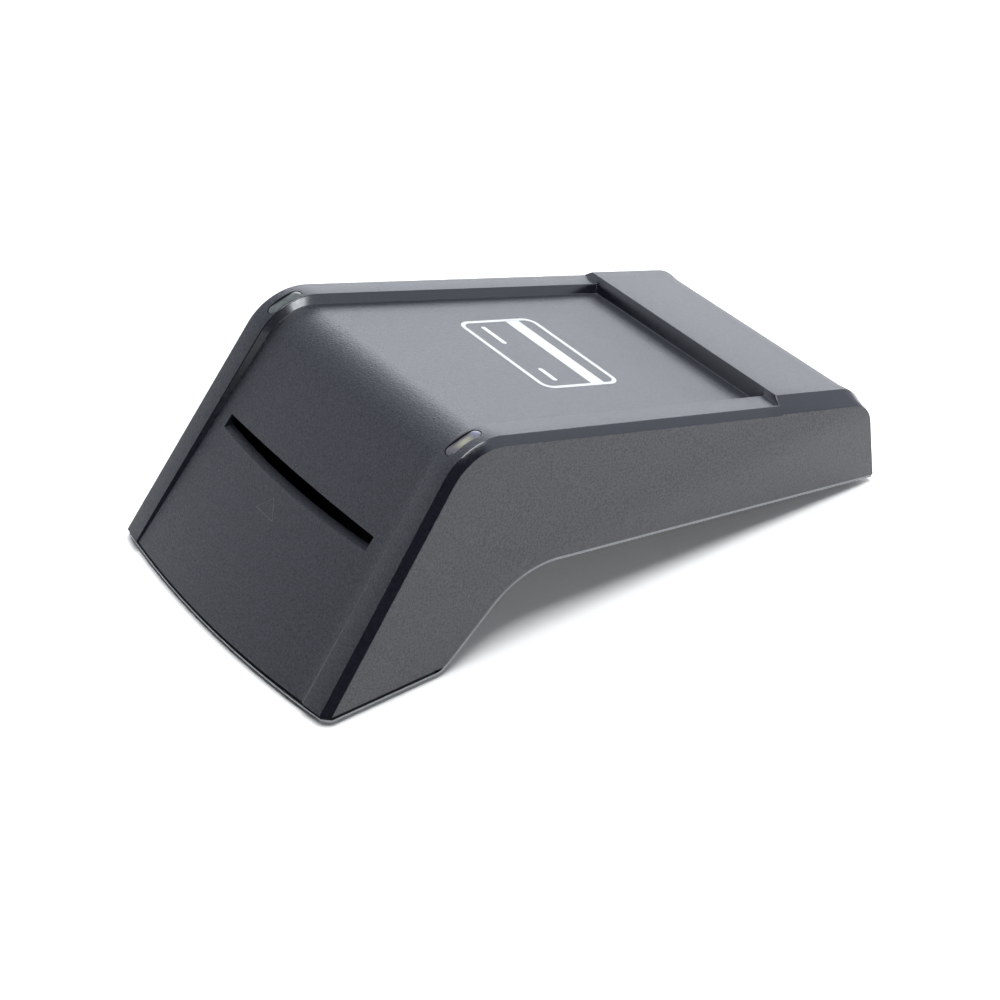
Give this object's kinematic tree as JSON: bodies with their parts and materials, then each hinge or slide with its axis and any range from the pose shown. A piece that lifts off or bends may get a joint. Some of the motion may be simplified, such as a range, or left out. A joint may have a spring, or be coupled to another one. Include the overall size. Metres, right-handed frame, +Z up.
{
  "type": "smart card reader",
  "caption": "Desk card reader: wedge housing on a low arch, card slot in the sloping front, sunk contactless panel on top, two status lights, sprung contact carriage inside.",
  "frame": {"origin": "on the table under the middle of the reader's width and depth, at the level of the rubber feet's undersides", "axes": "+Z up from the table, the card slot and the sloping front face -Y, +X to the right seen from the front"},
  "size_m": [0.0834, 0.1551, 0.0518],
  "materials": {
    "housing": "fine spark texture, matt",
    "base": "fine texture, matt",
    "light_window": "translucent, satin",
    "board": "solder mask over glass cloth",
    "black_plastic": "moulded, satin",
    "pale_plastic": "moulded, satin",
    "gold_contact": "gold plated",
    "spring_steel": "drawn wire",
    "copper_trace": "etched copper",
    "ferrite": "flexible sheet",
    "lamp": "clear resin over white",
    "flat_cable": "amber film",
    "tinned_steel": "tin plated",
    "screw_steel": "zinc plated, dark",
    "pad_rubber": "matt"
  },
  "bodies": {
    "reader": {"upper_shell": "housing", "lower_shell": "base", "light_guide_left": "light_window", "light_guide_right": "light_window", "main_board": "board", "connector_base": "black_plastic", "connector_cover": "black_plastic", "return_springs": "spring_steel", "detect_switch": "black_plastic", "antenna_board": "board", "antenna_coil": "copper_trace", "ferrite_sheet": "ferrite", "led_left": "lamp", "led_right": "lamp", "antenna_cable": "flat_cable", "cable_socket": "pale_plastic", "controller_chip": "black_plastic", "radio_chip": "black_plastic", "crystal": "tinned_steel", "buzzer": "black_plastic", "usb_shell": "tinned_steel", "usb_tongue": "black_plastic", "case_screws": "screw_steel", "board_screws": "tinned_steel", "foot_front_left": "pad_rubber", "foot_front_right": "pad_rubber", "foot_rear_left": "pad_rubber", "foot_rear_right": "pad_rubber"},
    "carriage": {"contact_carriage": "pale_plastic", "contact_springs": "gold_contact"},
    "card_lever": {"detect_lever": "pale_plastic"}
  },
  "joints": [
    {"name": "carriage_slide", "type": "slide", "parent": "reader", "child": "carriage", "axis": [0, 0.9787, -0.2052], "range_m": [0, 0.00504], "stiffness_N_per_m": 400, "springref_m": -0.002, "deforming": ["return_springs"]},
    {"name": "lever_hinge", "type": "hinge", "parent": "reader", "child": "card_lever", "pos_m": [0.022, 0.0053, 0.02448], "axis": [0, -0.0872, -0.9962], "range_deg": [0, 12], "stiffness_Nm_per_rad": 0.002, "springref_deg": -5.73}
  ]
}
